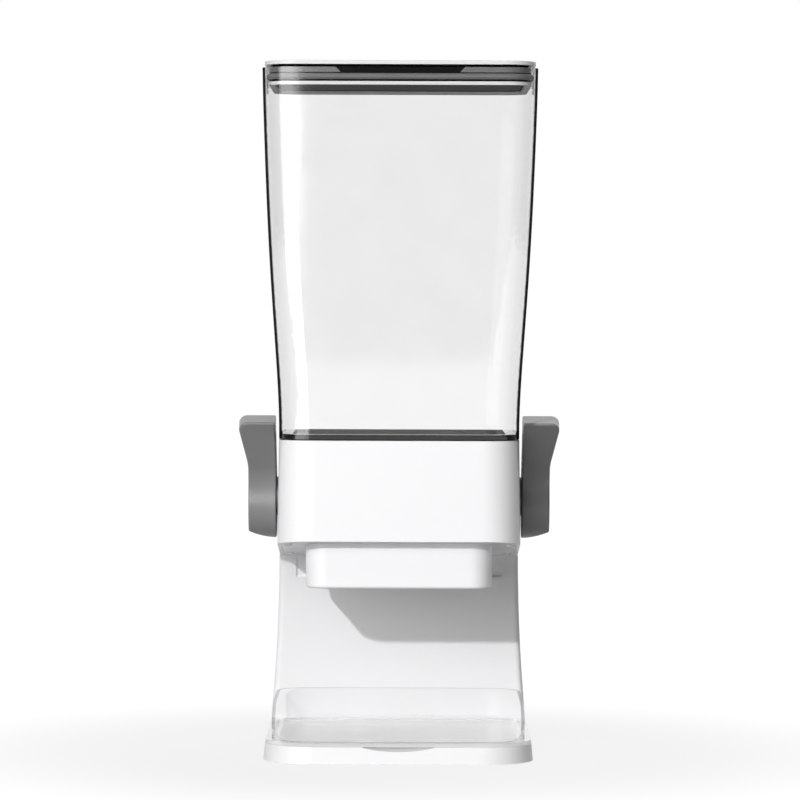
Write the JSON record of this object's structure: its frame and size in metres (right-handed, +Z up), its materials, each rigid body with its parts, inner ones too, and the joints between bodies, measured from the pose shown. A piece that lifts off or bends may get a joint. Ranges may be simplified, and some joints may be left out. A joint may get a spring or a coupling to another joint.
{
  "type": "dry food dispenser",
  "caption": "Countertop dry food dispenser: clear tapered tank with a push-in lid, lever-turned paddle wheel, spout, C-shaped white stand and clear catch tray.",
  "frame": {"origin": "on the floor under the middle of the foot, at the bottom centre of the bounding box", "axes": "+Z up, -Y to the front where the bowl goes, +X to the right seen from the front"},
  "size_m": [0.214, 0.188, 0.4607],
  "materials": {
    "white_plastic": "smooth semi-gloss",
    "inner_white_plastic": "satin",
    "lid_plastic": "satin",
    "clear_plastic": "clear and glossy",
    "grey_plastic": "fine satin",
    "grey_silicone": "matte",
    "pad_rubber": "matte",
    "steel": "plain"
  },
  "bodies": {
    "stand": {"stand_shell": "white_plastic", "stand_back_cover": "white_plastic", "base_plate": "white_plastic", "feet": "pad_rubber", "base_screws": "steel", "housing_shell": "white_plastic", "housing_screws": "steel", "hopper": "inner_white_plastic", "spout": "white_plastic", "bushing_left": "grey_plastic", "bushing_right": "grey_plastic", "return_spring": "steel"},
    "rotor": {"axle": "steel", "rotor_core": "inner_white_plastic", "rotor_paddles": "grey_silicone", "spring_arm": "inner_white_plastic", "lever_left": "grey_plastic", "lever_right": "grey_plastic", "lever_screws": "steel", "lever_caps": "grey_plastic"},
    "tank": {"container": "clear_plastic", "container_seal": "grey_silicone"},
    "lid": {"lid_top": "white_plastic", "lid_plug": "lid_plastic", "lid_gasket": "grey_silicone"},
    "tray": {"tray": "clear_plastic"}
  },
  "joints": [
    {"name": "lever_turn", "type": "hinge", "parent": "stand", "child": "rotor", "pos_m": [0, -0.008, 0.172], "axis": [1, 0, 0], "range_deg": [0, 70], "stiffness_Nm_per_rad": 0.12, "springref_deg": -51.57},
    {"name": "tank_lift", "type": "slide", "parent": "stand", "child": "tank", "axis": [0, 0, 1], "range_m": [0, 0.12]},
    {"name": "lid_lift", "type": "slide", "parent": "tank", "child": "lid", "axis": [0, 0, 1], "range_m": [0, 0.06]},
    {"name": "tray_slide", "type": "slide", "parent": "stand", "child": "tray", "axis": [0, -1, 0], "range_m": [0, 0.18]}
  ]
}
